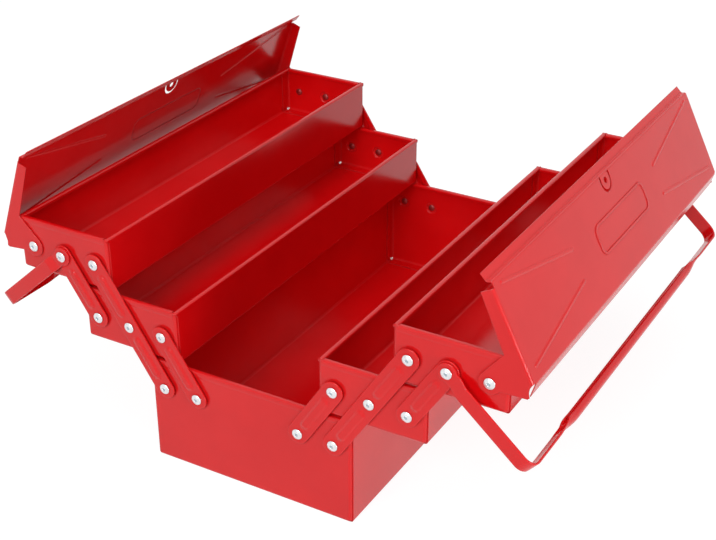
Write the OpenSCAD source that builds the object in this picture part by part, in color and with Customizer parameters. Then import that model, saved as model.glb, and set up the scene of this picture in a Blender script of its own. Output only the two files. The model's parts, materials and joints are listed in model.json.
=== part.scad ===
// Cantilever tool box in folded sheet steel: a base, two pairs of trays that swing out on
// riveted links, two lids and two carrying handles. It is drawn opened out.
// Right is +X, the front end faces -Y, and the origin is the middle of the base's underside.
// Every right-hand piece is drawn once, and the left-hand one is its mirror image.

/* [Box] */
// Width of the base
box_w = 200; // [160:1:260]
// Length over the end panels
box_l = 430; // [320:1:560]
// Height of the base
base_h = 101.2; // [84:1:140]
// Height of one tray
tray_h = 49.6; // [42:0.1:66]
// Space between the left and right trays when the box is shut
centre_gap = 4; // [3:0.5:12]
// Height left free between a tray and the rim that it comes down on
stack_gap = 1.6; // [0.4:0.1:3]

/* [Sheet steel] */
// Thickness of the sheet
sheet = 0.8; // [0.6:0.1:1.2]
// Outer radius of the folds at the corners
fold_r = 2.5; // [2:0.1:4]
// Width of the rim that is turned in along every top edge
rim_w = 4.6; // [4:0.1:8]
// Depth of the rim's inner edge
rim_drop = 3.5; // [3:0.1:6]
// Height of the band that stands out along the top of an end panel
band_h = 5; // [4:0.1:8]
// How far that band stands out
band_out = 0.25; // [0.15:0.05:0.3]
// Outer radius of the rim's folds
rim_r = 1.6; // [1.3:0.1:2]
// Width of the flanges that weld an end panel to its shell
lap = 12; // [8:1:20]
// Space left between two sheets that lie on each other
seam_gap = 0.05; // [0.02:0.01:0.2]

/* [Links] */
// Distance from a tray's inner wall to its first rivet
inner_inset = 15; // [11:0.5:20]
// Distance from a tray's outer wall to its last rivet
outer_inset = 16; // [11:0.5:20]
// Height of the rivets above a tray's underside
rivet_z = 24; // [16:0.5:32]
// Width of a link
link_w = 19; // [15:0.5:22]
// Thickness of a link
link_t = 1.6; // [1.2:0.1:2.2]
// Width of the pressed bead along a link
bead_w = 9.4; // [6:0.2:11]
// Height of the pressed bead
bead_h = 1.4; // [0.6:0.1:1.6]
// Distance from a rivet to the start of the bead
bead_start = 9; // [8:0.5:16]
// Height of the bosses that hold the links off an end panel
boss_h = 1.2; // [0.8:0.1:1.6]
// Diameter of a boss
boss_d = 14; // [12:0.5:16]

/* [Rivets] */
// Shank diameter
shank_d = 4; // [3:0.1:5]
// Head diameter
head_d = 9.5; // [8:0.1:12]
// Head height
head_h = 2.4; // [1.5:0.1:3]
// Diameter of the closed end inside the panel
tail_d = 7; // [6:0.1:8]
// Height of the closed end
tail_h = 1.2; // [0.8:0.1:2]
// Space around the shank in a hole
hole_fit = 0.05; // [0.02:0.01:0.1]
// Space between two flat pieces that turn on each other
face_gap = 0.2; // [0.1:0.05:0.5]

/* [Lids] */
// Height of the shut lid's top above the tray's rim
lid_clear = 8.9; // [6:0.1:14]
// Space between the skirt's edge and the tray's outer wall
skirt_gap = 1.4; // [0.6:0.1:3]
// Width of the sloping outer skirt
skirt_w = 12.5; // [9:0.5:16]
// Slope of the skirt
skirt_slope = 43.5; // [35:0.5:55]
// Width of the sunk lip along the free edge
lip_w = 7.4; // [6:0.1:12]
// Depth of the step from the top down to the lip
lip_step = 4; // [3:0.5:6]
// Slope of the lip
lip_slope = 18; // [8:1:20]
// Space between the two lips when the lids are shut
lip_gap = 1; // [0.5:0.5:3]
// Width of the end flanges at the free edge
lid_flange = 10.8; // [8:0.1:14]
// Opening angle of the right lid
right_lid_angle = 63; // [0:1:110]
// Opening angle of the left lid
left_lid_angle = 70; // [0:1:110]

/* [Handles] */
// Width of the handle's strap
strap_w = 13.2; // [11:0.1:16]
// Thickness of the strap
strap_t = 1.8; // [1.4:0.1:2.4]
// Distance from the tray's wall to the outer face of the crossbar when the arms are level
hand_room = 46; // [40:0.5:56]
// Distance that the arms are set outwards
handle_step = 2.8; // [2.6:0.1:5]
// Radius of the bends between arms and crossbar
handle_bend = 11; // [8:1:16]
// Length left flat at each end of the crossbar, from the end panel's face
grip_inset = 43; // [30:1:90]
// Outer diameter of the grip
grip_d = 9.2; // [8.4:0.2:12]
// Angle below level at which the handles hang
hang_angle = 41.3; // [35:0.1:45]

/* [Hidden] */

paint = [0.78, 0.08, 0.10];
zinc = [0.80, 0.81, 0.83];
eps = 0.01;                  // overlap that joins two shapes of one piece
round_fn = 48;               // sides drawn on round forms
fold_steps = 4;              // flats along one fold

// The trays and their linkage. Level 0 is the base, 1 the lower tray and 2 the upper tray, and
// columns 0, 1 and 2 are the rivets from the inside out. The base has columns 1 and 2 only.
tray_w = (box_w - centre_gap) / 2;
rivet_pitch = (tray_w - inner_inset - outer_inset) / 2;
level_rise = tray_h + stack_gap;
link_step = [rivet_pitch, level_rise];
link_half = norm(link_step);
link_angle = atan2(level_rise, rivet_pitch);
seat = sheet + seam_gap;
base_rivet_z = base_h + stack_gap + rivet_z - level_rise;
function tray_x(level) = centre_gap / 2 + 2 * rivet_pitch * level;
function tray_z(level) = base_h + stack_gap + level_rise * (level - 1);
function pivot_x(level, column) = tray_x(level) + inner_inset + rivet_pitch * column;
function pivot_z(level) = base_rivet_z + level_rise * level;

// Layers outwards from an end panel's face
end_y = box_l / 2;
link_y = end_y + boss_h + face_gap;
lid_y = end_y + 2 * face_gap;
handle_y = link_y + link_t + face_gap;
lid_l = 2 * (lid_y + sheet);

// ---- Folded sheet -------------------------------------------------------------------------

// One face of a sheet folded along the points p, at the distance side to the left of them
function unit(v) = v / norm(v);
function left_of(v) = [-v[1], v[0]];
function turned(v, a) = [v[0] * cos(a) - v[1] * sin(a), v[0] * sin(a) + v[1] * cos(a)];
function fold_points(p, i, r, side) =
    let (before = unit(p[i] - p[i - 1]), after = unit(p[i + 1] - p[i]),
         way = sign(before[0] * after[1] - before[1] * after[0]),
         angle = acos(before * after),
         centre = p[i] - before * r * tan(angle / 2) + left_of(before) * way * r)
    [for (k = [0 : fold_steps])
        centre - turned(left_of(before), way * angle * k / fold_steps) * (way * r - side)];
function folded_face(p, radii, side) =
    let (last = len(p) - 1)
    concat([p[0] + left_of(unit(p[1] - p[0])) * side],
           [for (i = [1 : last - 1]) each fold_points(p, i, radii[i - 1], side)],
           [p[last] + left_of(unit(p[last] - p[last - 1])) * side]);
function reversed(list) = [for (i = [len(list) - 1 : -1 : 0]) list[i]];

// Section of a folded sheet, with its thickness to the left of the points, or to the right
// when thickness is negative
module folded_sheet(p, radii, thickness) {
    polygon(concat(folded_face(p, radii, 0), reversed(folded_face(p, radii, thickness))));
}

// ---- Trays and base -----------------------------------------------------------------------

// Bottom and two long walls, folded from one sheet. The rims along the top run on over the end
// panels' side flanges, up to the panels themselves.
module shell(w, h) {
    rim = [[rim_w, h - rim_drop], [rim_w, h], [0, h], [0, h - 2 * rim_r]];
    trough = [rim[0], rim[1], rim[2], [0, 0],
              [w, 0], [w, h], [w - rim_w, h], [w - rim_w, h - rim_drop]];
    rotate([90, 0, 0]) {
        linear_extrude(box_l - 2 * (fold_r + face_gap), center = true)
            folded_sheet(trough, [rim_r, rim_r, fold_r, fold_r, rim_r, rim_r], sheet);
        linear_extrude(box_l - 2 * (sheet + face_gap), center = true) {
            folded_sheet(rim, [rim_r, rim_r], sheet);
            translate([w, 0]) mirror([1, 0]) folded_sheet(rim, [rim_r, rim_r], sheet);
        }
    }
}

// Lower corner of an end panel, drawn to a ball between the side fold and the bottom fold, with
// a small relief hole through it
module drawn_corner() {
    relief_d = 1.4;
    arc = [for (k = [0 : fold_steps]) -90 + 90 * k / fold_steps];
    ring = concat([for (a = arc) fold_r * [max(0, cos(a)), sin(a)]],
                  [for (a = reversed(arc)) (fold_r - sheet) * [max(0, cos(a)), sin(a)]]);
    translate([seat + fold_r, -end_y + fold_r, seat + fold_r])
        difference() {
            rotate([0, 0, 180]) rotate_extrude(angle = 90, $fn = 4 * fold_steps) polygon(ring);
            rotate([0, 0, 45]) rotate([0, 180 + acos(1 / sqrt(3)), 0])
                cylinder(h = 2 * fold_r, d = relief_d, $fn = round_fn / 4);
        }
}

// End panel with side and bottom flanges that lie inside the shell, at the front end. Its rim
// fits between the shell's rims, and beside them its top edge is plain. A band along its top
// stands out a little, and so does a boss round every rivet that carries a link.
module end_panel(w, h, holes, bosses, hole_z) {
    far = w - seat;
    short_lap = fold_r + sheet;
    flange_top = h - rim_drop - 2 * face_gap;
    rim_x = rim_w + face_gap;
    band_y = -end_y - band_out;
    band_slope = 0.8;        // height over which the sheet steps out to the band
    band_r = 1;
    boss_taper = 0.8;        // a boss is wider at its foot
    boss_hollow = sheet + 0.2;
    plain = [[-end_y + lap, seat], [-end_y, seat], [-end_y, h - band_h],
             [band_y, h - band_h + band_slope], [band_y, h]];
    rimmed = concat(plain, [[-end_y + rim_w, h], [-end_y + rim_w, h - rim_drop]]);
    module boss(r, height) {
        rotate([90, 0, 0])
            cylinder(h = height, r1 = r + boss_taper / 2, r2 = r - boss_taper / 2, $fn = round_fn);
    }
    difference() {
        union() {
            for (part = [[lap, seat + fold_r, flange_top],
                         [short_lap, flange_top - eps, h - rim_r]])
                translate([0, 0, part[1]])
                    linear_extrude(part[2] - part[1])
                        folded_sheet([[seat, -end_y + part[0]], [seat, -end_y], [far, -end_y],
                                      [far, -end_y + part[0]]], [fold_r, fold_r], sheet);
            for (part = [[seat + fold_r, rim_x + eps, plain], [rim_x, w - rim_x, rimmed],
                         [w - rim_x - eps, far - fold_r, plain]])
                translate([part[0], 0, 0])
                    rotate([90, 0, 90])
                        linear_extrude(part[1] - part[0])
                            folded_sheet(part[2], [fold_r, band_r, band_r, rim_r, rim_r], -sheet);
            for (x = bosses)
                translate([x, -end_y + eps, hole_z]) boss(boss_d / 2, boss_h + eps);
            drawn_corner();
            translate([w, 0, 0]) mirror([1, 0, 0]) drawn_corner();
        }
        for (x = bosses)
            translate([x, -end_y + sheet + eps, hole_z])
                boss(boss_d / 2 - boss_hollow, boss_h + eps);
        for (x = holes)
            translate([x, -end_y + 2 * sheet, hole_z])
                rotate([90, 0, 0])
                    cylinder(h = 3 * sheet + boss_h, d = shank_d + 2 * hole_fit, $fn = round_fn);
    }
}

module base_end() {
    translate([-box_w / 2, 0, 0])
        let (holes = [for (way = [-1, 1], column = [1, 2]) box_w / 2 + way * pivot_x(0, column)])
            end_panel(box_w, base_h, holes, holes, base_rivet_z);
}

module tray_shell(level) {
    translate([tray_x(level), 0, tray_z(level)]) shell(tray_w, tray_h);
}

module tray_end(level) {
    translate([tray_x(level), 0, tray_z(level)])
        let (holes = [for (column = [0 : 2]) inner_inset + rivet_pitch * column])
            end_panel(tray_w, tray_h, holes, level == 1 ? holes : [holes[0], holes[1]], rivet_z);
}

// ---- Rivets -------------------------------------------------------------------------------

// Domed rivet through an end panel, with its head over a stack that ends at head_y. Its closed
// end lies in the hollow of the boss, if there is one.
module rivet(x, z, head_y) {
    lift = head_y == lid_head_y ? 0 : boss_h;
    tail_y = end_y + lift - sheet - seam_gap;
    dome_r = (pow(head_d / 2, 2) + pow(head_h, 2)) / (2 * head_h);
    dimple_d = head_d / 4;
    translate([x, 0, z])
        rotate([90, 0, 0])
            difference() {
                union() {
                    translate([0, 0, tail_y - tail_h])
                        cylinder(h = tail_h, d = tail_d, $fn = round_fn);
                    translate([0, 0, tail_y - eps])
                        cylinder(h = head_y - tail_y + 2 * eps, d = shank_d, $fn = round_fn);
                    translate([0, 0, head_y])
                        intersection() {
                            translate([0, 0, head_h - dome_r]) sphere(r = dome_r, $fn = round_fn);
                            cylinder(h = head_h + eps, d = head_d + eps, $fn = round_fn);
                        }
                }
                translate([0, 0, head_y + head_h]) sphere(d = dimple_d, $fn = round_fn / 2);
            }
}

link_head_y = link_y + link_t + face_gap / 2;
lid_head_y = lid_y + sheet + face_gap / 2;
handle_head_y = handle_y + strap_t + face_gap / 2;

module both_ends() {
    children();
    mirror([0, 1, 0]) children();
}

module base_rivet_set() {
    both_ends()
        for (way = [-1, 1], column = [1, 2])
            rivet(way * pivot_x(0, column), base_rivet_z, link_head_y);
}

module lower_rivet_set() {
    both_ends()
        for (column = [0 : 2]) rivet(pivot_x(1, column), pivot_z(1), link_head_y);
}

module upper_rivet_set() {
    heads = [link_head_y, handle_head_y, lid_head_y];
    both_ends()
        for (column = [0 : 2]) rivet(pivot_x(2, column), pivot_z(2), heads[column]);
}

// ---- Links --------------------------------------------------------------------------------

// Round-ended link from one rivet to the rivet that is spans further up. The bead between two
// rivets is pressed through, so it stands out of the front and leaves a groove in the back. The
// outer link's bead, at level 1, ends earlier, where the handle's arm passes over the link.
module link(level, column, spans) {
    handle_room = 4;
    bead_r = (pow(bead_w / 2, 2) + pow(bead_h, 2)) / (2 * bead_h);
    bead_l = link_half - 2 * bead_start - (level == 1 ? handle_room : 0);
    module beads(z) {
        for (i = [0 : spans - 1])
            translate([i * link_half + bead_start, 0, z]) bead(bead_l, bead_r);
    }
    translate([pivot_x(level, column), -link_y, pivot_z(level)])
        rotate([90, 0, 0])
            rotate([0, 0, link_angle]) {
                difference() {
                    union() {
                        for (i = [0, spans])
                            translate([i * link_half, 0, 0])
                                cylinder(h = link_t, d = link_w, $fn = round_fn);
                        translate([0, -link_w / 2, 0]) cube([spans * link_half, link_w, link_t]);
                        beads(link_t);
                    }
                    beads(0);
                    for (i = [0 : spans])
                        translate([i * link_half, 0, -eps])
                            cylinder(h = link_t + 2 * eps, d = shank_d + 2 * hole_fit,
                                     $fn = round_fn);
                }
            }
}

// Pressed bead with round ends, standing bead_h out of a face at z = 0
module bead(length, r) {
    intersection() {
        translate([0, 0, bead_h - r]) {
            translate([bead_w / 2, 0, 0])
                rotate([0, 90, 0]) cylinder(h = length - bead_w, r = r, $fn = 4 * round_fn);
            for (x = [bead_w / 2, length - bead_w / 2])
                translate([x, 0, 0]) sphere(r = r, $fn = 4 * round_fn);
        }
        translate([0, -bead_w / 2, -link_t / 2])
            cube([length, bead_w, link_t / 2 + bead_h + eps]);
    }
}

// ---- Lids ---------------------------------------------------------------------------------

// Lid shut, with its rivet at the origin, its free edge to the left and its top facing up
lid_rise = tray_h - rivet_z + lid_clear;
lid_out = outer_inset + skirt_gap - skirt_w * cos(skirt_slope);
lid_reach = pivot_x(0, 2) - lip_gap / 2;
lip_root = lid_reach - lip_w * cos(lip_slope);
lip_root_z = lid_rise - lip_step;
lid_top_end = lip_root - 1;
flange_end = lid_top_end - 5;
skirt_edge = [lid_out + skirt_w * cos(skirt_slope), lid_rise - skirt_w * sin(skirt_slope)];

module lid_body() {
    lip_inset = 1.5;         // the lip is narrower than the lid at each end
    skirt_inset = 4;         // and so is the skirt
    lapped = 10;             // width of the top that both drawings of it share
    // Top with the stepped lip
    rotate([90, 0, 0])
        linear_extrude(lid_l - 2 * (lip_inset + sheet), center = true)
            folded_sheet([[-lid_reach, lip_root_z - lip_w * sin(lip_slope)], [-lip_root, lip_root_z],
                          [-lid_top_end, lid_rise], [0, lid_rise]], [rim_r, rim_r], -sheet);
    // Top with the skirt
    rotate([90, 0, 0])
        linear_extrude(lid_l - 2 * skirt_inset, center = true)
            folded_sheet([[-lapped, lid_rise], [lid_out, lid_rise], skirt_edge], [fold_r], -sheet);
    // Top with the end flanges
    translate([-flange_end, 0, 0])
        rotate([90, 0, 90])
            linear_extrude(flange_end + lid_out - 1)
                folded_sheet([[-lid_l / 2, lid_rise - lid_flange], [-lid_l / 2, lid_rise],
                              [lid_l / 2, lid_rise], [lid_l / 2, lid_rise - lid_flange]],
                             [fold_r, fold_r], -sheet);
    both_ends()
        translate([0, -lid_l / 2 + sheet, 0])
            rotate([90, 0, 0]) linear_extrude(sheet) gusset();
}

// Outline of the end flange and of the gusset that carries the rivet
module gusset() {
    lug_r = link_w / 2;
    lug_angle = 24;          // where the neck's edge leaves the lug, below level
    flange_z = lid_rise - lid_flange;
    neck = [-20, flange_z - 2.5];
    notch = [lid_out + 4.5, lid_rise - 6.5];
    polygon([[-flange_end, lid_rise - fold_r], [lid_out - 1, lid_rise - fold_r], notch,
             skirt_edge + [-0.5, 1], skirt_edge - [0, 1], [1, -lug_r],
             [-lug_r * cos(lug_angle), -lug_r * sin(lug_angle)], neck, [-flange_end, flange_z]]);
    circle(r = lug_r, $fn = round_fn);
}

// Raised line on the lid's top, from one point to another
module crease(from, to) {
    crease_w = 3.2;
    crease_h = 0.7;
    r = (pow(crease_w / 2, 2) + pow(crease_h, 2)) / (2 * crease_h);
    span = to - from;
    translate([from[0], from[1], lid_rise])
        rotate([0, 0, atan2(span[1], span[0])])
            intersection() {
                translate([0, 0, crease_h - r]) {
                    rotate([0, 90, 0]) cylinder(h = norm(span), r = r, $fn = 2 * round_fn);
                    for (x = [0, norm(span)])
                        translate([x, 0, 0]) sphere(r = r, $fn = 2 * round_fn);
                }
                translate([-crease_w / 2, -crease_w / 2, -sheet / 2])
                    cube([norm(span) + crease_w, crease_w, sheet / 2 + crease_h + eps]);
            }
}

// Rounded rectangle
module round_rect(size, r) {
    for (x = [-1, 1], y = [-1, 1])
        translate([x * (size[0] / 2 - r), y * (size[1] / 2 - r)]) circle(r = r, $fn = round_fn);
    square([size[0] - 2 * r, size[1]], center = true);
    square([size[0], size[1] - 2 * r], center = true);
}

// Half plane to the left of a circle's centre, joined to the circle
module slot_end(r) {
    circle(r = r, $fn = round_fn);
    translate([-4 * r, -r]) square([4 * r, 2 * r]);
}

// Hole and the slot round it that frees the padlock eye
module lock_eye() {
    eye_x = lid_top_end - 6;
    eye_d = 5.8;
    slot_r = 9;
    slot_w = 2.4;
    leg = 5.5;
    translate([-eye_x, 0, lid_rise - 2 * sheet])
        linear_extrude(4 * sheet) {
            circle(d = eye_d, $fn = round_fn);
            intersection() {
                difference() {
                    slot_end(slot_r + slot_w / 2);
                    slot_end(slot_r - slot_w / 2);
                }
                translate([-leg, -2 * slot_r]) square([leg + 2 * slot_r, 4 * slot_r]);
            }
        }
}

// Frame pressed up out of the top, or the groove that it leaves below when inset is above 0
module frame_line(size, r, line, height, inset) {
    linear_extrude(sheet / 2 + height)
        difference() {
            round_rect(size - 2 * [inset, inset], r - inset);
            round_rect(size - 2 * [line - inset, line - inset], r - line + inset);
        }
}

// The frame and the creases are pressed through, and keep their places on the top as the lid is
// made wider or longer
module lid() {
    frame_x = 0.44 * lid_top_end;
    frame_size = [0.345 * lid_top_end, 0.25 * lid_l];
    frame_shift = 5;
    frame_w = 1.8;
    frame_h = 0.6;
    frame_r = 8;
    crease_start = lid_l / 2 - 13;
    crease_end = 0.215 * lid_l;
    inner_crease = [-0.93 * lid_top_end, -0.62 * lid_top_end];
    outer_crease = [-2, -0.26 * lid_top_end];
    module creases(z) {
        both_ends()
            for (c = [inner_crease, outer_crease])
                translate([0, 0, z]) crease([c[0], -crease_start], [c[1], -crease_end]);
    }
    difference() {
        union() {
            lid_body();
            creases(0);
            translate([-frame_x, frame_shift, lid_rise - sheet / 2])
                frame_line(frame_size, frame_r, frame_w, frame_h, 0);
        }
        creases(-sheet);
        translate([-frame_x, frame_shift, lid_rise - 3 * sheet / 2])
            frame_line(frame_size, frame_r, frame_w, frame_h, frame_w / 4);
        both_ends()
            translate([0, -lid_l / 2 + 2 * sheet, 0])
                rotate([90, 0, 0])
                    cylinder(h = 4 * sheet, d = shank_d + 2 * hole_fit, $fn = round_fn);
        lock_eye();
    }
}

module placed_lid(angle) {
    translate([pivot_x(2, 2), 0, pivot_z(2)]) rotate([0, angle, 0]) lid();
}

// ---- Handles ------------------------------------------------------------------------------

// Section of the grip at a share t of the way from flat strap (0) to rolled grip (1): a strip
// bent round a centre line, with its open side towards the rivet
handle_reach = outer_inset + rivet_pitch + hand_room;
grip_l = box_l - 2 * grip_inset;
grip_sweep = 300;            // how far round the grip is rolled, in degrees
flat_sweep = 12;             // how far round the strap's end is
grip_sides = 14;
grip_taper = 37;             // length over which the strap rolls up
grip_stations = 8;
function grip_section(t) =
    let (sweep = flat_sweep + (grip_sweep - flat_sweep) * t,
         half_w = (strap_w + (grip_d - strap_w) * t) / 2,
         outer_r = half_w / sin(min(90, sweep / 2)),
         inner_r = outer_r - strap_t,
         centre = handle_reach + (grip_d - strap_t) / 2 * t - outer_r,
         angles = [for (k = [0 : grip_sides]) sweep * (k / grip_sides - 0.5)])
    concat([for (a = angles) [centre + outer_r * cos(a), outer_r * sin(a)]],
           [for (a = reversed(angles)) [centre + inner_r * cos(a), inner_r * sin(a)]]);

// Solid through the sections at the given places along Y. A section runs along its outer face
// and back along its inner one, so its ends are closed by strips from face to face.
module swept(sections, places) {
    n = len(sections[0]);
    half = n / 2;
    last = len(sections) - 1;
    polyhedron(
        points = [for (i = [0 : last], q = sections[i]) [q[0], places[i], q[1]]],
        faces = concat(
            [for (k = [0 : half - 2]) each [[k, n - 2 - k, k + 1], [k, n - 1 - k, n - 2 - k]]],
            [for (k = [0 : half - 2], o = last * n)
                each [[o + k, o + k + 1, o + n - 2 - k], [o + k, o + n - 2 - k, o + n - 1 - k]]],
            [for (i = [0 : last - 1], k = [0 : n - 1])
                let (a = i * n + k, b = i * n + (k + 1) % n) each [[a, b, a + n], [b, b + n, a + n]]]),
        convexity = 6);
}

module grip() {
    ease = [for (i = [0 : grip_stations]) (1 - cos(180 * i / grip_stations)) / 2];
    inner = grip_l / 2 - grip_taper;
    shares = concat(ease, reversed(ease));
    places = concat([for (i = [0 : grip_stations]) -grip_l / 2 + grip_taper * i / grip_stations],
                    [for (i = [0 : grip_stations]) inner + grip_taper * i / grip_stations]);
    swept([for (t = shares) grip_section(t)], places);
}

// Handle with its rivets on the Y axis and its arms along +X
module handle() {
    root_y = handle_y;
    arm_y = handle_y + handle_step;
    bar_x = handle_reach - strap_t;
    step_start = 10;
    step_end = 18;
    step_r = 4;
    lug_r = 8.5;
    joined = 1;              // overlap of the crossbar's flat end and the grip
    difference() {
        union() {
            both_ends() {
                // Arm with its outward step, and the bend into the crossbar
                translate([0, 0, -strap_w / 2])
                    linear_extrude(strap_w)
                        folded_sheet([[0, -root_y], [step_start, -root_y], [step_end, -arm_y],
                                      [bar_x, -arm_y], [bar_x, -grip_l / 2 + joined]],
                                     [step_r, step_r, handle_bend - strap_t], -strap_t);
                rotate([90, 0, 0])
                    translate([0, 0, root_y]) cylinder(h = strap_t, r = lug_r, $fn = round_fn);
            }
            grip();
        }
        both_ends()
            rotate([90, 0, 0])
                translate([0, 0, root_y - eps])
                    cylinder(h = strap_t + 2 * eps, d = shank_d + 2 * hole_fit, $fn = round_fn);
    }
}

module placed_handle() {
    translate([pivot_x(2, 1), 0, pivot_z(2)]) rotate([0, hang_angle, 0]) handle();
}

// ---- Sub-parts ----------------------------------------------------------------------------

module red() { color(paint) children(); }
module bright() { color(zinc) children(); }
module left() { mirror([1, 0, 0]) children(); }
module rear() { mirror([0, 1, 0]) children(); }

module base_shell() { red() translate([-box_w / 2, 0, 0]) shell(box_w, base_h); }
module base_front_end() { red() base_end(); }
module base_rear_end() { red() rear() base_end(); }
module base_rivets() { bright() base_rivet_set(); }

module right_lower_tray_shell() { red() tray_shell(1); }
module right_lower_tray_front_end() { red() tray_end(1); }
module right_lower_tray_rear_end() { red() rear() tray_end(1); }
module right_lower_tray_rivets() { bright() lower_rivet_set(); }
module right_upper_tray_shell() { red() tray_shell(2); }
module right_upper_tray_front_end() { red() tray_end(2); }
module right_upper_tray_rear_end() { red() rear() tray_end(2); }
module right_upper_tray_rivets() { bright() upper_rivet_set(); }
module left_lower_tray_shell() { red() left() tray_shell(1); }
module left_lower_tray_front_end() { red() left() tray_end(1); }
module left_lower_tray_rear_end() { red() left() rear() tray_end(1); }
module left_lower_tray_rivets() { bright() left() lower_rivet_set(); }
module left_upper_tray_shell() { red() left() tray_shell(2); }
module left_upper_tray_front_end() { red() left() tray_end(2); }
module left_upper_tray_rear_end() { red() left() rear() tray_end(2); }
module left_upper_tray_rivets() { bright() left() upper_rivet_set(); }

module right_front_inner_link() { red() link(0, 1, 1); }
module right_front_long_link() { red() link(0, 2, 2); }
module right_front_outer_link() { red() link(1, 2, 1); }
module right_rear_inner_link() { red() rear() link(0, 1, 1); }
module right_rear_long_link() { red() rear() link(0, 2, 2); }
module right_rear_outer_link() { red() rear() link(1, 2, 1); }
module left_front_inner_link() { red() left() link(0, 1, 1); }
module left_front_long_link() { red() left() link(0, 2, 2); }
module left_front_outer_link() { red() left() link(1, 2, 1); }
module left_rear_inner_link() { red() left() rear() link(0, 1, 1); }
module left_rear_long_link() { red() left() rear() link(0, 2, 2); }
module left_rear_outer_link() { red() left() rear() link(1, 2, 1); }

module right_lid() { red() placed_lid(right_lid_angle); }
module left_lid() { red() left() placed_lid(left_lid_angle); }
module right_handle() { red() placed_handle(); }
module left_handle() { red() left() placed_handle(); }

base_shell();
base_front_end();
base_rear_end();
base_rivets();
right_lower_tray_shell();
right_lower_tray_front_end();
right_lower_tray_rear_end();
right_lower_tray_rivets();
right_upper_tray_shell();
right_upper_tray_front_end();
right_upper_tray_rear_end();
right_upper_tray_rivets();
left_lower_tray_shell();
left_lower_tray_front_end();
left_lower_tray_rear_end();
left_lower_tray_rivets();
left_upper_tray_shell();
left_upper_tray_front_end();
left_upper_tray_rear_end();
left_upper_tray_rivets();
right_front_inner_link();
right_front_long_link();
right_front_outer_link();
right_rear_inner_link();
right_rear_long_link();
right_rear_outer_link();
left_front_inner_link();
left_front_long_link();
left_front_outer_link();
left_rear_inner_link();
left_rear_long_link();
left_rear_outer_link();
right_lid();
left_lid();
right_handle();
left_handle();
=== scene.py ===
# %% [markdown]
# # A cantilever tool box in red enamel
# The steel pieces of the box arrive finished in shape: folded trays, links, handles and two
# lids. This lesson gives them their paint and closes the corners of the trays with small
# welds. It makes again in finer meshes the pieces that the eye goes to first: the bright
# rivets, the beaded links and the two strap handles. Everything is in metres and in the box's
# own frame, so a new piece goes where the steel already is.

import json
import math

import bmesh
import bpy
from mathutils import Euler, Matrix, Vector

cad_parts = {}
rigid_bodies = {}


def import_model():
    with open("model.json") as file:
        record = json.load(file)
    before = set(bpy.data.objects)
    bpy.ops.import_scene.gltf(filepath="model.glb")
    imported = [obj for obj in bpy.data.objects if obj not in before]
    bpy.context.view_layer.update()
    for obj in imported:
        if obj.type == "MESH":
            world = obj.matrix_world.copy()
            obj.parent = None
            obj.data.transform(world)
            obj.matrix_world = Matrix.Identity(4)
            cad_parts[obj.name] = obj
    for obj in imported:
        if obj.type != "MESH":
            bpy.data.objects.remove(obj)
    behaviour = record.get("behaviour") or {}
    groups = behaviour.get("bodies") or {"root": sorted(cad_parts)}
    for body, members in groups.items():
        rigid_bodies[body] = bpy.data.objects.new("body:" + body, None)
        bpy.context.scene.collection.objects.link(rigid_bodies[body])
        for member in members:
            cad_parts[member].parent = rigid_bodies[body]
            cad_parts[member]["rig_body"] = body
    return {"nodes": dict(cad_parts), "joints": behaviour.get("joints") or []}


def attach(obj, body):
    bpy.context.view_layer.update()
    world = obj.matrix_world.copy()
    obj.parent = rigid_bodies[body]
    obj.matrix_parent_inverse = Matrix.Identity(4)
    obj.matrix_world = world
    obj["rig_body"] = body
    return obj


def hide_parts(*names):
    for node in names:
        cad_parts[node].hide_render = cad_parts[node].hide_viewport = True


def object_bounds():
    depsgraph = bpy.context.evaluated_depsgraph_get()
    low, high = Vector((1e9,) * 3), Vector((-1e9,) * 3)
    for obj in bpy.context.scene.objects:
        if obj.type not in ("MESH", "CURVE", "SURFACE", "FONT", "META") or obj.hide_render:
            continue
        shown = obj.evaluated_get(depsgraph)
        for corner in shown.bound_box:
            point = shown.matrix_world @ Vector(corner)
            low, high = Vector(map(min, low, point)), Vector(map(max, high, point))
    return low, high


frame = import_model()
nodes = frame["nodes"]
cad_low, cad_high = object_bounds()
mm = 0.001
joint_at = {j["child"]: Vector(j["pos_m"]) for j in frame["joints"]}
print("nodes", len(nodes), "box in mm", [round(v / mm, 1) for v in cad_high - cad_low])

# %% [markdown]
# ## The camera
# The box is seen from its front right corner and from above. A long lens keeps the tray rims
# nearly parallel. The small shift sets the box a little off centre, and is better than turning
# the camera, because turning would change the perspective.

# %% Camera
camera_data = bpy.data.cameras.new("camera")
camera_data.sensor_width = 36.0
camera_data.lens = 69.04
camera_data.shift_x, camera_data.shift_y = -0.0214, 0.0043
camera_data.clip_start = 0.05
camera = bpy.data.objects.new("camera", camera_data)
camera.location = (0.5577, -0.9931, 0.7263)
camera.rotation_euler = Euler([math.radians(a) for a in (61.552, -0.27, 29.548)])
bpy.context.scene.collection.objects.link(camera)
bpy.context.scene.camera = camera
print("camera stands", round((camera.location - (cad_low + cad_high) / 2).length, 2), "m away")

# %% [markdown]
# ## Helpers for node trees
# A material is a small graph. These helpers keep each graph readable: `node` adds a node and
# sets its values, `join` draws a wire from one socket to another, `empty_tree` clears away the
# nodes that Blender puts in, and `spread` stretches a range of values over another.


# %% Node helpers
def node(tree, kind, **values):
    made = tree.nodes.new(kind)
    for name, value in values.items():
        if name in made.inputs:
            made.inputs[name].default_value = value
        else:
            setattr(made, name, value)
    return made


def join(tree, source, output, target, entry):
    tree.links.new(source.outputs[output], target.inputs[entry])


def empty_tree(owner):
    owner.use_nodes = True
    owner.node_tree.nodes.clear()
    return owner.node_tree


def spread(tree, source, output, from_range, to_range):
    made = node(tree, "ShaderNodeMapRange")
    for end, value in zip(("From Min", "From Max", "To Min", "To Max"), from_range + to_range):
        made.inputs[end].default_value = value
    join(tree, source, output, made, "Value")
    return made


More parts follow.
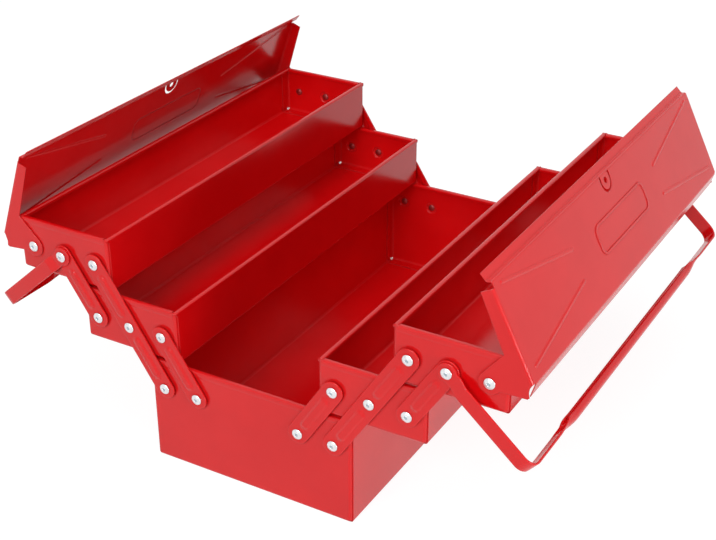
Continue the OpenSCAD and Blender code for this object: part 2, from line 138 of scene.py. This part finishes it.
print("helpers:", node.__name__, join.__name__, empty_tree.__name__, spread.__name__)

# %% [markdown]
# ## The studio
# Enamel shows what stands around it, so the room matters as much as the paint. One bare lamp
# would leave it black with a hard glint. So the box stands in a white tent that is lit from
# above: its roof throws the most light and its sides fade down to the floor. A lamp above
# brightens the rolled rims, a large one in front lights the end panels, and a low one at the
# right reaches the outside of the right-hand lid while the left-hand trays stay in its shade.
# What the lens and the mirror reflections see of the tent is plain white all over: the Light
# Path node tells those rays from the ones that carry light.

# %% Rays that see the tent
scene = bpy.context.scene
scene.view_settings.view_transform = "Standard"


def seen_directly(tree):
    """1 for camera, mirror and transmission rays, 0 for the rays that carry diffuse light."""
    path = node(tree, "ShaderNodeLightPath")
    first = node(tree, "ShaderNodeMath", operation="MAXIMUM")
    second = node(tree, "ShaderNodeMath", operation="MAXIMUM")
    join(tree, path, "Is Camera Ray", first, 0)
    join(tree, path, "Is Glossy Ray", first, 1)
    join(tree, first, 0, second, 0)
    join(tree, path, "Is Transmission Ray", second, 1)
    return second


print("view transform", scene.view_settings.view_transform)

# %% World
tent_light = 0.62
tent_colour = (1.0, 0.99, 0.985, 1.0)
world = bpy.data.worlds.new("light tent")
scene.world = world
tree = empty_tree(world)
throws = node(tree, "ShaderNodeBackground", Color=tent_colour)
heading = node(tree, "ShaderNodeTexCoord")
height = node(tree, "ShaderNodeSeparateXYZ")
join(tree, heading, "Generated", height, 0)
roof = spread(tree, height, "Z", (0.0, 1.0), (0.0, tent_light))
join(tree, roof, 0, throws, "Strength")
shows = node(tree, "ShaderNodeBackground", Color=(1, 1, 1, 1), Strength=1.0)
choose = node(tree, "ShaderNodeMixShader")
out = node(tree, "ShaderNodeOutputWorld")
join(tree, seen_directly(tree), 0, choose, 0)
join(tree, throws, 0, choose, 1)
join(tree, shows, 0, choose, 2)
join(tree, choose, 0, out, 0)
print("tent strength overhead", tent_light)


# %% Lamps
def soft_lamp(name, place, aim, size, power, colour):
    data = bpy.data.lights.new(name, "AREA")
    data.shape = "RECTANGLE"
    data.size, data.size_y = size
    data.energy = power
    data.color = colour
    lamp = bpy.data.objects.new(name, data)
    lamp.visible_camera = False
    lamp.location = place
    lamp.rotation_euler = (Vector(aim) - Vector(place)).to_track_quat("-Z", "Y").to_euler()
    scene.collection.objects.link(lamp)
    return lamp


middle = (cad_low + cad_high) / 2
soft_lamp("front lamp", (0.2, -1.9, 1.1), middle, (1.2, 0.9), 19.0, (1.0, 0.99, 0.98))
soft_lamp("side lamp", (1.7, -0.5, 0.2), middle, (0.9, 0.38), 9.6, (0.98, 0.99, 1.0))
soft_lamp("roof lamp", (0.4, -0.3, 2.1), middle, (1.2, 1.2), 9.0, (1.0, 1.0, 1.0))
print("three lamps aimed at", [round(v, 3) for v in middle])

# %% [markdown]
# ## The floor
# The box stands on a sheet of pale board. A board that glowed would be white enough, but it
# would light the box from below and take no shadow. So this one is matt to the rays that
# carry light, and glows only to the lens and to reflections. Its far edge is lost in the
# white of the tent, and it still takes the soft shadow of the box and sends light up under
# the trays.

# %% Floor
floor_half = 4.0
board = bpy.data.materials.new("pale board")
tree = empty_tree(board)
matt = node(tree, "ShaderNodeBsdfDiffuse", Color=(0.80, 0.80, 0.80, 1), Roughness=0.6)
faint = node(tree, "ShaderNodeBsdfDiffuse", Color=(0.21, 0.21, 0.21, 1), Roughness=0.6)
lift = node(tree, "ShaderNodeEmission", Color=(1, 1, 1, 1), Strength=0.90)
both = node(tree, "ShaderNodeAddShader")
choose = node(tree, "ShaderNodeMixShader")
out = node(tree, "ShaderNodeOutputMaterial")
join(tree, faint, 0, both, 0)
join(tree, lift, 0, both, 1)
join(tree, seen_directly(tree), 0, choose, 0)
join(tree, matt, 0, choose, 1)
join(tree, both, 0, choose, 2)
join(tree, choose, 0, out, 0)

floor_mesh = bpy.data.meshes.new("floor")
corners = [(x * floor_half, y * floor_half, 0) for x, y in ((-1, -1), (1, -1), (1, 1), (-1, 1))]
floor_mesh.from_pydata(corners, [], [(0, 1, 2, 3)])
floor_mesh.materials.append(board)
floor = bpy.data.objects.new("floor", floor_mesh)
scene.collection.objects.link(floor)
print("floor", 2 * floor_half, "m square")

# %% [markdown]
# ## Red enamel
# Stoved enamel on thin sheet is never quite even. The spray leaves cloudy drifts between two
# near reds, which noise gives. Beside open folds and cut edges the colour is made paler, partly
# for paint that dries thinner there and partly as a painted highlight, and in a crease or close
# to other steel it is made darker, which is painted shade. A mask painted by hand could mark
# those places, but it would have to be painted again whenever the steel changed, so here they
# are found. The true surface is compared with one whose edges are rounded, which the Bevel node
# gives: the two differ only beside an edge. Ambient Occlusion, which feels how closed in a point
# is, tells an open edge from a crease.

# %% Where edges and creases are
edge_round = 1.1 * mm
crease_reach = 2.5 * mm
# Edges are made paler: partly thin paint, partly a painted highlight.
edge_highlight_paleness = 0.26
edge_agree = (1.0, 0.8)
open_range = (0.85, 0.98)
# Creases and steel close to other parts are made darker: painted shade.
crease_shade_range = (0.30, 0.85)


def rounded_normal(tree):
    return node(tree, "ShaderNodeBevel", samples=6, Radius=edge_round)


def closed_in(tree):
    """AO node: 1 in the open, less where other steel is near."""
    return node(tree, "ShaderNodeAmbientOcclusion", samples=4, Distance=crease_reach)


def open_edge(tree, rounded, exposed):
    """How much a point is beside an edge that stands in the open."""
    true = node(tree, "ShaderNodeNewGeometry")
    agree = node(tree, "ShaderNodeVectorMath", operation="DOT_PRODUCT")
    join(tree, rounded, 0, agree, 0)
    join(tree, true, "Normal", agree, 1)
    edge = spread(tree, agree, "Value", edge_agree, (0.0, edge_highlight_paleness))
    both = node(tree, "ShaderNodeMath", operation="MULTIPLY")
    join(tree, edge, 0, both, 0)
    join(tree, exposed, 0, both, 1)
    return both


print("edges are looked for within", round(edge_round / mm, 1), "mm")


# %% Colour of the enamel
drift_scale = 14.0


def mix_colours(tree, factor, first, second):
    """Mix of two colours, each a tuple or a node whose mixed colour is taken."""
    mixed = node(tree, "ShaderNodeMix", data_type="RGBA")
    join(tree, factor, 0, mixed, 0)
    for entry, colour in ((6, first), (7, second)):
        if isinstance(colour, tuple):
            mixed.inputs[entry].default_value = (*colour, 1)
        else:
            join(tree, colour, 2, mixed, entry)
    return mixed


def enamel_colour(tree, place, hidden, edge, reds):
    body_red, thin_paint_and_highlight_red, deep_red = reds
    drift = node(tree, "ShaderNodeTexNoise", Scale=drift_scale, Detail=3.0, Roughness=0.6)
    join(tree, place, "Object", drift, "Vector")
    clouds = spread(tree, drift, 0, (0.35, 0.65), (0.0, 1.0))
    shade = mix_colours(tree, clouds, body_red, deep_red)
    # Painted shade: the red darkens where the AO node finds a crease or other steel close by.
    crease = spread(tree, hidden, "AO", crease_shade_range, (0.0, 1.0))
    painted_shade_red = tuple(0.8 * c for c in deep_red)
    shaded_in_creases = mix_colours(tree, crease, painted_shade_red, shade)
    # Open edges turn to the pale red: partly thin paint, partly a painted highlight.
    return mix_colours(tree, edge, shaded_in_creases, thin_paint_and_highlight_red)


print("a drift is about", round(1 / drift_scale / mm), "mm long")

# %% [markdown]
# The gloss changes a little from patch to patch, and goes dull in creases where the gun
# hardly reaches. The sheet under the paint is slightly wavy, so that long reflections bend,
# and the paint has a fine orange peel, about a millimetre across and a few thousandths deep.
# Cutting such shallow waves into the mesh would take a million faces, and a bump needs none,
# so both are bumps, the fine one on top of the coarse one.


# %% Gloss and bumps of the enamel
patch_scale = 45.0
wave_scale = 16.0
peel_scale = 780.0
wave_depth = 0.35 * mm
peel_depth = 0.012 * mm
gloss_range = (0.13, 0.24)
dull_rough = 0.6


def enamel_roughness(tree, place, exposed):
    patch = node(tree, "ShaderNodeTexNoise", Scale=patch_scale, Detail=4.0)
    join(tree, place, "Object", patch, "Vector")
    gloss = spread(tree, patch, 0, (0.0, 1.0), gloss_range)
    dulled = node(tree, "ShaderNodeMix")
    dulled.inputs[2].default_value = dull_rough
    join(tree, exposed, 0, dulled, 0)
    join(tree, gloss, 0, dulled, 3)
    return dulled


def noise_bump(tree, place, scale, detail, depth, under):
    """Bump from noise, standing on the normal of another node."""
    noise = node(tree, "ShaderNodeTexNoise", Scale=scale, Detail=detail)
    bump = node(tree, "ShaderNodeBump", Strength=1.0, Distance=depth)
    join(tree, place, "Object", noise, "Vector")
    join(tree, noise, 0, bump, "Height")
    join(tree, under, 0, bump, "Normal")
    return bump


print("one wave is about", round(1 / wave_scale / mm), "mm long, one dimple of peel",
      round(1 / peel_scale / mm, 1))


# %% Enamel
def enamel(name, *reds):
    """Paint from three reds: edges thin paint and painted highlight, creases painted shade."""
    paint = bpy.data.materials.new(name)
    tree = empty_tree(paint)
    place = node(tree, "ShaderNodeTexCoord")
    shader = node(tree, "ShaderNodeBsdfPrincipled", IOR=1.45)
    out = node(tree, "ShaderNodeOutputMaterial")
    join(tree, shader, 0, out, 0)

    rounded = rounded_normal(tree)
    hidden = closed_in(tree)
    exposed = spread(tree, hidden, "AO", open_range, (0.0, 1.0))
    edge = open_edge(tree, rounded, exposed)
    join(tree, enamel_colour(tree, place, hidden, edge, reds), 2, shader, "Base Color")
    join(tree, enamel_roughness(tree, place, exposed), 0, shader, "Roughness")
    wave = noise_bump(tree, place, wave_scale, 1.0, wave_depth, rounded)
    peel = noise_bump(tree, place, peel_scale, 2.0, peel_depth, wave)
    join(tree, peel, 0, shader, "Normal")
    return paint


body_red = (0.76, 0.004, 0.006)
# The pale red of open edges is partly thin paint and partly a painted highlight.
thin_paint_and_highlight_red = (0.88, 0.09, 0.09)
deep_red = (0.71, 0.002, 0.004)
red_enamel = enamel("red enamel", body_red, thin_paint_and_highlight_red, deep_red)
print("made", red_enamel.name)

# %% Paint the steel
for name, steel in nodes.items():
    if not name.endswith("rivets"):
        steel.data.materials.clear()
        steel.data.materials.append(red_enamel)
print("painted", sum(not n.endswith("rivets") for n in nodes), "pieces")

# %% [markdown]
# ## Bright zinc
# The rivets are plated. Plate is a metal with a faint blue cast, scratched finely where the
# setting tool turned on it. Rings could be drawn from a place in the scene, but then each
# rivet would need a material of its own. Instead every point of a rivet carries a number, its
# distance from the axis, and the rings follow that number on every head alike. The tails
# inside the box are duller zinc, coloured a dark red: a painted reflection of the red walls
# around them, and painted shade.


# %% Zinc and broken pin
ring_rate = 26000.0


def metal(name, colour, rough, ring_depth):
    plate = bpy.data.materials.new(name)
    tree = empty_tree(plate)
    shader = node(tree, "ShaderNodeBsdfPrincipled", Metallic=1.0)
    out = node(tree, "ShaderNodeOutputMaterial")
    join(tree, shader, 0, out, 0)
    place = node(tree, "ShaderNodeTexCoord")

    cloud = node(tree, "ShaderNodeTexNoise", Scale=420.0, Detail=4.0)
    join(tree, place, "Object", cloud, "Vector")
    tint = mix_colours(tree, cloud, colour, tuple(0.86 * c for c in colour))
    join(tree, tint, 2, shader, "Base Color")
    dull = spread(tree, cloud, 0, (0.0, 1.0), (rough - 0.08, rough + 0.10))
    join(tree, dull, 0, shader, "Roughness")

    radius = node(tree, "ShaderNodeAttribute", attribute_name="radius")
    stretch = node(tree, "ShaderNodeMath", operation="MULTIPLY")
    stretch.inputs[1].default_value = ring_rate
    ring = node(tree, "ShaderNodeMath", operation="SINE")
    turned = node(tree, "ShaderNodeBump", Strength=1.0, Distance=ring_depth)
    join(tree, radius, "Fac", stretch, 0)
    join(tree, stretch, 0, ring, 0)
    join(tree, ring, 0, turned, "Height")
    join(tree, turned, 0, shader, "Normal")
    return plate


bright_zinc = metal("bright zinc", (0.83, 0.84, 0.86), 0.26, 0.002 * mm)
grey_pin = metal("grey pin", (0.42, 0.49, 0.54), 0.42, 0.004 * mm)
# The tails' dark red is a painted reflection of the red walls around them and painted shade.
tail_zinc_painted_red = metal("zinc with painted red reflection", (0.42, 0.10, 0.10), 0.48, 0.002 * mm)
print("made", bright_zinc.name, grey_pin.name, "and", tail_zinc_painted_red.name,
      "with a ring each", round(2 * math.pi / ring_rate / mm, 2), "mm")

# %% [markdown]
# ## Rivets
# These are blind rivets: a tube with a domed flange, closed from outside by pulling a pin
# through it until the pin snaps. So each head is a low dome with a round hole, and the end of
# the broken pin sits in it. Inside the panel the tube has swollen to a round-shouldered ring.
# A turned shape like this is a profile spun about an axis. Blender has a tool for that, but
# here the rings are laid one by one, so that each point can be given its distance from the
# axis as it is made. The plain rivets that are already there say where: their points fall
# into one cluster for each rivet.


# %% Where the rivets are
same_rivet = 12 * mm


def rivet_places(name):
    """(axis x, axis z, outer y, inner y) of each rivet in a node, from its own points."""
    found = []
    for vertex in nodes[name].data.vertices:
        p = vertex.co
        for group in found:
            aside = math.hypot(p.x - group[0].x, p.z - group[0].z)
            if p.y * group[0].y > 0 and aside < same_rivet:
                group.append(p.copy())
                break
        else:
            found.append([p.copy()])
    places = []
    for group in found:
        x = (min(p.x for p in group) + max(p.x for p in group)) / 2
        z = (min(p.z for p in group) + max(p.z for p in group)) / 2
        reach = sorted((p.y for p in group), key=abs)
        places.append((x, z, reach[-1], reach[0]))
    return places


rivet_nodes = [n for n in nodes if n.endswith("rivets")]
for name in rivet_nodes:
    print(name, len(rivet_places(name)), "rivets")

# %% [markdown]
# The profile runs from the middle of the pin outwards over the dome, in under the flange,
# along the tube and over the swollen end. Each of its points is a distance from the axis and
# a depth below the top of the head. The first stretch is the pin, then comes the head, and
# the tube and its tail are last, so the count of points tells which metal a ring is.

# %% Rivet sizes
head_r = 4.75 * mm
head_h = 2.4 * mm
edge_h = 0.95 * mm
tube_r = 2.0 * mm
hole_r = 1.5 * mm
pin_depth = 0.5 * mm
tail_r = 3.5 * mm
tail_h = 1.2 * mm
turns = 40
print("head", round(2 * head_r / mm, 1), "mm across, tail", round(2 * tail_r / mm, 1), "mm")


# %% Rivet profile
def dome_point(share):
    """Point on the dome: share 0 at the hole's edge, 1 at the rim."""
    rise = head_h - edge_h
    dome_r = (head_r**2 + rise**2) / (2 * rise)
    start = hole_r + 0.25 * mm
    r = start + (head_r - start) * share
    return r, dome_r - math.sqrt(dome_r**2 - r**2)


def rivet_profile(length):
    """[(radius, depth)] down the rivet, and the number of points that belong to the pin."""
    pin = [(0, pin_depth - 0.12 * mm), (0.6 * mm, pin_depth - 0.1 * mm),
           (1.1 * mm, pin_depth), (hole_r - 0.05 * mm, pin_depth + 0.05 * mm)]
    lip = [(hole_r, 0.35 * mm), (hole_r + 0.05 * mm, 0.16 * mm), (hole_r + 0.14 * mm, 0.06 * mm)]
    dome = [dome_point(k / 9) for k in range(10)]
    rim = [(head_r + 0.02 * mm, head_h - 0.85 * edge_h), (head_r, head_h - 0.7 * edge_h),
           (head_r - 0.5 * mm, head_h - 0.1 * edge_h), (head_r - 0.6 * mm, head_h),
           (tube_r, head_h)]
    swell = length - tail_h
    tail = [(tube_r, swell), (tail_r - 0.3 * mm, swell), (tail_r, swell + 0.3 * mm),
            (tail_r, length - 0.4 * mm), (tail_r - 0.4 * mm, length), (0, length)]
    head = len(pin + lip + dome + rim)
    return pin + lip + dome + rim + tail, len(pin), head


profile, pin_points, head_points = rivet_profile(6 * mm)
print("profile of", len(profile), "points,", pin_points, "on the pin,", head_points, "on the head")


# %% Spin a rivet
# The third material, for the tails, carries a painted red reflection and painted shade.
zinc, pin, tail_shade = 0, 1, 2


def rivet_ring(mesh, place, radius, depth, ring_layer):
    """One ring of points, or one point where the radius is nought."""
    x, z, outer, _ = place
    y = outer - math.copysign(depth, outer)
    ring = []
    for k in range(turns if radius else 1):
        a = 2 * math.pi * k / turns
        vertex = mesh.verts.new((x + radius * math.cos(a), y, z + radius * math.sin(a)))
        vertex[ring_layer] = radius
        ring.append(vertex)
    return ring


def spin_rivet(mesh, place, ring_layer):
    outer, inner = place[2:]
    profile, pin_points, head_points = rivet_profile(abs(outer - inner))
    rings = [rivet_ring(mesh, place, *point, ring_layer) for point in profile]
    for i, (a, b) in enumerate(zip(rings, rings[1:])):
        plate = pin if i < pin_points - 1 else zinc if i < head_points - 1 else tail_shade
        for k in range(turns):
            n = (k + 1) % turns
            corners = [a[k % len(a)], a[n % len(a)], b[n % len(b)], b[k % len(b)]]
            corners = list(dict.fromkeys(corners))
            face = mesh.faces.new(corners if outer > 0 else corners[::-1])
            face.smooth = True
            face.material_index = plate


print("material numbers: zinc", zinc, "pin", pin, "tail_shade", tail_shade)


# %% From mesh to object
def make_object(name, mesh, materials):
    data = bpy.data.meshes.new(name)
    mesh.to_mesh(data)
    mesh.free()
    for material in materials:
        data.materials.append(material)
    made = bpy.data.objects.new(name, data)
    scene.collection.objects.link(made)
    return made


print("new pieces go to", scene.collection.name)

# %% Make the rivets
plates = [bright_zinc, grey_pin, tail_zinc_painted_red]
for name in rivet_nodes:
    mesh = bmesh.new()
    ring_layer = mesh.verts.layers.float.new("radius")
    for place in rivet_places(name):
        spin_rivet(mesh, place, ring_layer)
    bmesh.ops.recalc_face_normals(mesh, faces=mesh.faces)
    rivets = make_object(name.replace("rivets", "blind_rivets"), mesh, plates)
    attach(rivets, nodes[name]["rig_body"])
    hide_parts(name)
    print(rivets.name, len(rivets.data.polygons), "faces")

# %% [markdown]
# ## Corner welds
# The rims of a shell and of its end panels are turned in, and cut back where they would run
# into each other. The maker closes each of these corners with a drop of weld and dresses it
# flush, so that no open end of a rim is left to catch a hand. A drop could be melted into
# both rims with a boolean, but it is barely larger than the steel is thick, and one small
# block with rounded edges looks the same. Its place comes from the steel: the shell says how
# wide the tray is, and the end panel says how long and how high.

# %% Corner welds
weld_size = Vector((5.4, 2.4, 2.2)) * mm
weld_round = 0.6 * mm
weld_below = 0.05 * mm


def add_corner_welds(mesh, shell, panel):
    shell_x = [v.co.x for v in shell.data.vertices]
    top = max(v.co.z for v in panel.data.vertices)
    rim_y = [v.co.y for v in panel.data.vertices if v.co.z > top - 0.1 * mm]
    face = max(rim_y, key=abs)
    y = face - math.copysign(weld_size.y / 2 + weld_below, face)
    z = top - weld_size.z / 2 - weld_below
    aside = weld_size.x / 2 + weld_below
    for x in (min(shell_x) + aside, max(shell_x) - aside):
        place = Matrix.Translation((x, y, z)) @ Matrix.Diagonal((*weld_size, 1))
        block = bmesh.ops.create_cube(mesh, size=1, matrix=place)
        edges = list({e for v in block["verts"] for e in v.link_edges})
        bmesh.ops.bevel(mesh, geom=edges, offset=weld_round, segments=3, affect="EDGES")


for shell_name in [n for n in nodes if n.endswith("_shell")]:
    body = shell_name.removesuffix("_shell")
    mesh = bmesh.new()
    for end in ("front", "rear"):
        add_corner_welds(mesh, nodes[shell_name], nodes[f"{body}_{end}_end"])
    for face in mesh.faces:
        face.smooth = True
    welds = make_object(body + "_corner_welds", mesh, [red_enamel])
    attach(welds, body)
    print(welds.name, len(welds.data.polygons), "faces")

# %% [markdown]
# ## Links
# Each link is a bar stamped from strip, with round ends and a bead pressed up along the
# middle of every span, which stiffens it much as a fold does. A press leaves soft shoulders,
# so the bead is a height added to a flat bar: full over the middle, falling off in an S on
# the way out, and the same on the back, because the sheet keeps its thickness. A square grid
# of points could carry that height, but it would leave the round ends ragged. So the bar is
# built of loops that follow its outline, from the centre line out over the face, round the
# cut edge and back in behind.

# %% Link sizes
link_t = 1.6 * mm
bead_half = 4.7 * mm
bead_h = 1.4 * mm
bead_side = 2.6 * mm
bead_end = 1.9 * mm
edge_r = 0.3 * mm
column_gap = 1.5 * mm
cap_points = 20
face_loops = 14
print("bead", round(2 * bead_half / mm, 1), "mm wide and", round(bead_h / mm, 1), "mm high")

# %% [markdown]
# The steel links say where the fine ones go. A link turns on the pivot of its own joint, and
# its points farthest from there give its direction. The points that stand highest are the
# crown of the bead, which stops a little short of the bead's ends.


# %% Where the links are
tip_slack = 0.02 * mm
crown_least = 0.9 * mm


def link_lines(name):
    """Pivot, way along, way across, length between the end pivots, half width, y of the face
    and the two ends of each bead."""
    pivot = joint_at[name]
    points = [v.co for v in nodes[name].data.vertices]
    face = min(abs(p.y) for p in points) + link_t
    flat = [Vector((p.x - pivot.x, 0, p.z - pivot.z)) for p in points]
    far = max(p.length for p in flat)
    ends = [p.normalized() for p in flat if p.length > far - tip_slack]
    along = sum(ends, Vector()).normalized()
    across = Vector((-along.z, 0, along.x))
    half = max(abs(p.dot(across)) for p in flat)
    spans = 2 if name.endswith("long_link") else 1
    span = (far - half) / spans
    raised = [p.dot(along) for p, q in zip(flat, points) if abs(q.y) > face + crown_least]
    beads = []
    for i in range(spans):
        inside = [s for s in raised if i * span < s < (i + 1) * span]
        beads.append((min(inside) - bead_end, max(inside) + bead_end))
    return pivot, along, across, far - half, half, face, beads


link_names = sorted(n for n in nodes if n.endswith("link"))
for name in link_names[:3]:
    *_, length, half, _, beads = link_lines(name)
    print(name, "between pivots", round(length / mm, 1), "half width", round(half / mm, 2),
          "beads", [[round(v / mm, 1) for v in bead] for bead in beads])


# %% Bead height
def smooth_share(t):
    """S-shaped rise from 0 to 1 while t goes from 0 to 1."""
    t = min(max(t, 0.0), 1.0)
    return t * t * (3 - 2 * t)


def bead_height(s, t, beads):
    """Height added at a point s along and t across a link."""
    height = 0.0
    for start, end in beads:
        beyond = max(start + bead_half - s, 0.0, s - (end - bead_half))
        inside = bead_half - math.hypot(beyond, t)
        height = max(height, bead_h * smooth_share(inside / bead_side))
    return height


def link_outline(length):
    """Points on a link's centre line, with the way out from each, once round the link."""
    columns = round(length / column_gap)
    loop = []
    for end, way in ((0.0, 1), (length, -1)):
        for k in range(columns):
            loop.append((end + way * length * k / columns, 0.0, way * 1.0))
        for k in range(cap_points):
            a = math.pi / 2 - math.pi * k / cap_points
            loop.append((end + way * length, way * math.cos(a), way * math.sin(a)))
    return loop


print(len(link_outline(61.2 * mm)), "points round a short link")

# %% [markdown]
# A loop is given by how far out it lies and how deep below the face. The loops at distance
# zero fold flat onto the centre line, where doubled points are merged afterwards.


# %% Loops of a link
def join_rings(mesh, rings):
    """Smooth faces between each ring of points and the next."""
    for a, b in zip(rings, rings[1:]):
        for k in range(len(a)):
            n = (k + 1) % len(a)
            mesh.faces.new((a[k], a[n], b[n], b[k])).smooth = True


def outline_loops(half):
    """(distance out, depth) of each loop over the face, round the edge and in behind."""
    inset = half - edge_r
    across_face = [inset * k / face_loops for k in range(face_loops + 1)]
    loops = [(out, 0.0) for out in across_face]
    loops += [(half - 0.3 * edge_r, 0.3 * edge_r), (half, edge_r), (half, link_t - edge_r),
              (half - 0.3 * edge_r, link_t - 0.3 * edge_r)]
    return loops + [(out, link_t) for out in reversed(across_face)]


print(len(outline_loops(9.5 * mm)), "loops over a link")


# %% Build the links
def link_mesh(name):
    pivot, along, across, length, half, face, beads = link_lines(name)
    way = 1 if nodes[name].data.vertices[0].co.y > 0 else -1
    outline = link_outline(length)
    mesh = bmesh.new()
    rings = []
    for out, depth in outline_loops(half):
        ring = []
        for centre, out_s, out_t in outline:
            s, t = centre + out * out_s, out * out_t
            point = pivot + along * s + across * t
            point.y = way * (face - depth + bead_height(s, t, beads))
            ring.append(mesh.verts.new(point))
        rings.append(ring)
    join_rings(mesh, rings)
    bmesh.ops.remove_doubles(mesh, verts=mesh.verts, dist=0.001 * mm)
    bmesh.ops.recalc_face_normals(mesh, faces=mesh.faces)
    return mesh


for name in link_names:
    link = make_object(name.replace("link", "beaded_link"), link_mesh(name), [red_enamel])
    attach(link, name)
    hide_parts(name)
    print(link.name, len(link.data.polygons), "faces")

# %% [markdown]
# ## Handles
# A handle is one long strip of steel. Its ends are rounded and turn on the tray's rivets. It
# steps outwards to clear the lid, bends round a corner, and between the corners its edges are
# curled inwards until they nearly meet, so that it doesn't cut the hand. A curve with a bevel
# shape would follow that path, but it has the same section all the way. So the strip is one
# ring of points carried along the path: the ring is flat on the arms, and it draws in
# and curls as it goes along the grip.

# %% Handle sizes
strap_w = 13.2 * mm
strap_t = 1.8 * mm
lug_r = 8.5 * mm
grip_r = 4.5 * mm
grip_sweep = math.radians(300)
flat_sweep = math.radians(3)
root_y = 218.2 * mm
step = 2.8 * mm
step_span = (10 * mm, 18 * mm)
step_bend = 4 * mm
bend_r = 11 * mm
grip_half = 172 * mm
rolled_half = 135.5 * mm
roll_run = 37 * mm
grip_below = 0.1 * mm


def handle_reach(side):
    """Distance from the rivet to the grip's outermost line, and the angle that it hangs at."""
    pivot = joint_at[side + "_handle"]
    points = [v.co for v in nodes[side + "_handle"].data.vertices]
    grip = [p - pivot for p in points if abs(p.y) < rolled_half]
    far = max(grip, key=lambda p: math.hypot(p.x, p.z))
    return math.hypot(far.x, far.z), math.atan2(far.z, abs(far.x))


reach, hang = handle_reach("right")
print("reach", round(reach / mm, 1), "mm, hangs at", round(math.degrees(hang), 1), "degrees")


# %% Lug and step
lug_steps = 8
lug_share = 0.72
step_steps = 4


def lug_stations():
    """The round end that turns on the rivet, as far round as its share of a half turn."""
    angles = [math.pi * (1 - k / lug_steps * lug_share) for k in range(lug_steps + 1)]
    return [(lug_r * math.cos(a), root_y, 0.0, lug_r * math.sin(a), 0.0) for a in angles]


def step_stations():
    """The joggle from the rivet out past the lid, with a short bend at each end."""
    slope = math.atan2(step, step_span[1] - step_span[0])
    stations = []
    for centre, low, high in ((step_span[0], 0, 1), (step_span[1], 1, 0)):
        for k in range(step_steps + 1):
            share = k / step_steps
            turn = slope * (low + (high - low) * share)
            along = centre + (share - 0.5) * step_bend
            lift = max(0.0, along - step_span[0]) * math.tan(slope)
            y = min(root_y + lift, root_y + step)
            stations.append((along, y, turn, strap_w / 2, 0.0))
    return stations


print(len(lug_stations()), "stations on the lug,", len(step_stations()), "on the step")


# %% Corner and grip
bend_steps = 10
roll_steps = 24
bar_steps = 8


def corner_stations(bar):
    """The bend from the arm into the bar."""
    corner_y = root_y + step + strap_t - bend_r
    inner_r = bend_r - strap_t
    angles = [math.pi / 2 * k / bend_steps for k in range(bend_steps + 1)]
    return [(bar - bend_r + inner_r * math.sin(a), corner_y + inner_r * math.cos(a), -a,
             strap_w / 2, 0.0) for a in angles]


def grip_stations(bar):
    """The bar: the strip curls up over a short run, and stays curled to the middle."""
    rolled_y = grip_half - roll_run
    run = [(grip_half - roll_run * k / roll_steps, k / roll_steps)
           for k in range(roll_steps + 1)]
    run += [(rolled_y * (1 - k / bar_steps), 1.0) for k in range(1, bar_steps + 1)]
    return [(bar - strap_t, y, -math.pi / 2, strap_w / 2, share) for y, share in run]


def handle_stations():
    """Half of the path, from the end of the arm to the middle of the grip. Each station is
    (distance out, y, turn of the strip in radians, half width, share rolled)."""
    bar = reach - (grip_r + grip_below - strap_t / 2)
    return lug_stations() + step_stations() + corner_stations(bar) + grip_stations(bar)


print(len(handle_stations()), "stations on half a handle")

# %% [markdown]
# The ring's points are given in the strip's own directions: across its width, and out of its
# face. A flat ring is a strip bent round a very large circle, and the rolled one is the same
# strip bent round a small one, so one function makes both and everything between. Its cut
# edges are rounded with a few points each, because paint never leaves a sharp edge.


# %% Ring of the strip
edge_share = 0.3


def strip_ring(half_width, share):
    """Points (across, out) round the strip. The inner face is at out = 0 on flat strip."""
    roll = smooth_share(share)
    sweep = flat_sweep + (grip_sweep - flat_sweep) * roll
    half_width += (grip_r - half_width) * roll
    outer = half_width / math.sin(min(math.pi / 2, sweep / 2))
    centre = strap_t + (grip_r - strap_t / 2) * roll - outer
    steps = 18
    corner = edge_share * strap_t
    ring = []

    def at(r, a):
        ring.append((r * math.sin(a), centre + r * math.cos(a)))

    trim = corner / outer
    for k in range(steps + 1):
        at(outer, (sweep - 2 * trim) * (k / steps - 0.5))
    at(outer - 0.3 * corner, sweep / 2 - 0.3 * trim)
    at(outer - corner, sweep / 2)
    at(outer - strap_t + corner, sweep / 2)
    at(outer - strap_t + 0.3 * corner, sweep / 2 - 0.3 * trim)
    for k in range(steps + 1):
        at(outer - strap_t, (sweep - 2 * trim) * (0.5 - k / steps))
    at(outer - strap_t + 0.3 * corner, -sweep / 2 + 0.3 * trim)
    at(outer - strap_t + corner, -sweep / 2)
    at(outer - corner, -sweep / 2)
    at(outer - 0.3 * corner, -sweep / 2 + 0.3 * trim)
    return ring


print(len(strip_ring(strap_w / 2, 0.5)), "points round the strip")


# %% Build the handles
least_half = 0.4 * mm


def handle_mesh(side):
    pivot = joint_at[side + "_handle"]
    way = 1 if side == "right" else -1
    arm = Vector((way * math.cos(hang), 0, math.sin(hang)))
    across = Vector((-way * math.sin(hang), 0, math.cos(hang)))
    half = handle_stations()
    full = [(d, -y, -turn, w, s) for d, y, turn, w, s in half]
    full += [(d, y, turn, w, s) for d, y, turn, w, s in reversed(half[:-1])]
    mesh = bmesh.new()
    rings = []
    for distance, y, turn, half_width, share in full:
        face_way = 1 if y > 0 or (y == 0 and turn < 0) else -1
        out = arm * -math.sin(turn) * face_way + Vector((0, face_way * math.cos(turn), 0))
        centre = Vector((pivot.x, y, pivot.z)) + arm * distance
        ring = [mesh.verts.new(centre + across * u + out * v)
                for u, v in strip_ring(max(half_width, least_half), share)]
        rings.append(ring)
    join_rings(mesh, rings)
    for ring in (rings[0], rings[-1]):
        mesh.faces.new(ring)
    bmesh.ops.recalc_face_normals(mesh, faces=mesh.faces)
    return mesh


for side in ("right", "left"):
    handle = make_object(side + "_strap_handle", handle_mesh(side), [red_enamel])
    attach(handle, side + "_handle")
    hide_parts(side + "_handle")
    print(handle.name, len(handle.data.polygons), "faces")
